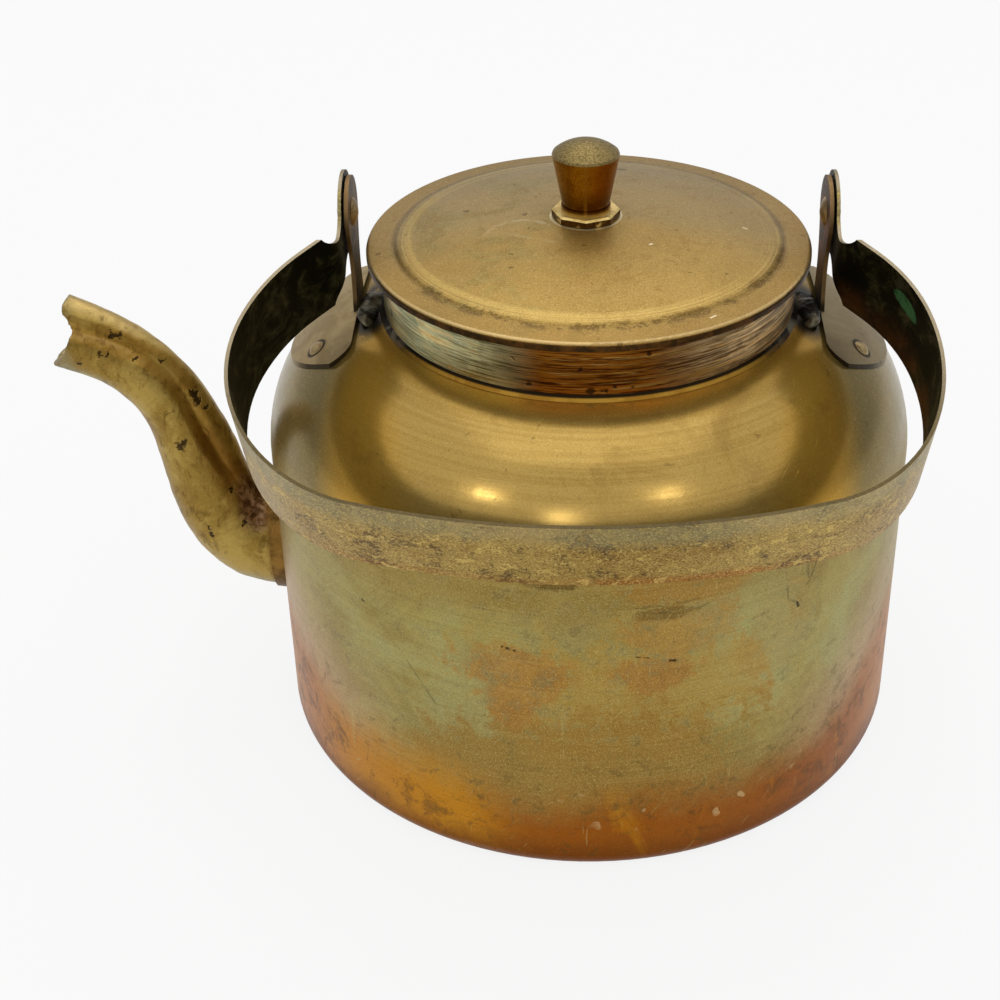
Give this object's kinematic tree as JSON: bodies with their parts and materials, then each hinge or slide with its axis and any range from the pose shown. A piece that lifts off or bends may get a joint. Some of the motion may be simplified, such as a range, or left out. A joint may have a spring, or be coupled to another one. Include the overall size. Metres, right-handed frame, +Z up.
{
  "type": "tea kettle",
  "caption": "Old brass tea kettle with a curved spout, a loose domed lid with a turned knob and a flat swinging bail riveted to its ears.",
  "frame": {"origin": "centre of the flat base, where the pot's axis meets the surface it stands on", "axes": "+Z up along the pot's axis, -X towards the spout, -Y towards the side on which the bail rests"},
  "size_m": [0.2638, 0.2108, 0.1877],
  "materials": {
    "pot_brass": "aged spun brass, brushed, with heat tint low down",
    "collar_brass": "dull streaked brass",
    "solder": "dull grey solder",
    "spout_brass": "cast brass, dark in the creases",
    "ear_brass": "matt worn brass sheet",
    "rivet_brass": "dull brass rivet",
    "strap_brass": "grey worn brass strip, dark inside",
    "lid_brass": "satin brown brass",
    "knob_brass": "dark amber turned brass",
    "hidden_brass": "plain brass fastener"
  },
  "bodies": {
    "pot": {"body_shell": "pot_brass", "neck_collar": "collar_brass", "collar_solder": "solder", "spout": "spout_brass", "spout_solder": "solder", "ear_spout_side": "ear_brass", "ear_back_side": "ear_brass", "ear_rivet_spout_front": "rivet_brass", "ear_rivet_spout_rear": "rivet_brass", "ear_rivet_back_front": "rivet_brass", "ear_rivet_back_rear": "rivet_brass", "pivot_rivet_spout_side": "rivet_brass", "pivot_rivet_back_side": "rivet_brass"},
    "bail": {"bail_strap": "strap_brass"},
    "lid": {"lid_disc": "lid_brass", "lid_plug_ring": "lid_brass", "knob_washer": "knob_brass", "knob": "knob_brass", "knob_stud": "hidden_brass", "under_washer": "hidden_brass", "knob_nut": "hidden_brass"}
  },
  "joints": [
    {"name": "bail_hinge", "type": "hinge", "parent": "pot", "child": "bail", "pos_m": [0, 0, 0.16599], "axis": [-1, 0, 0], "range_deg": [0, 229.6]},
    {"name": "lid_lift", "type": "slide", "parent": "pot", "child": "lid", "axis": [0, 0, 1], "range_m": [0, 0.06]}
  ]
}
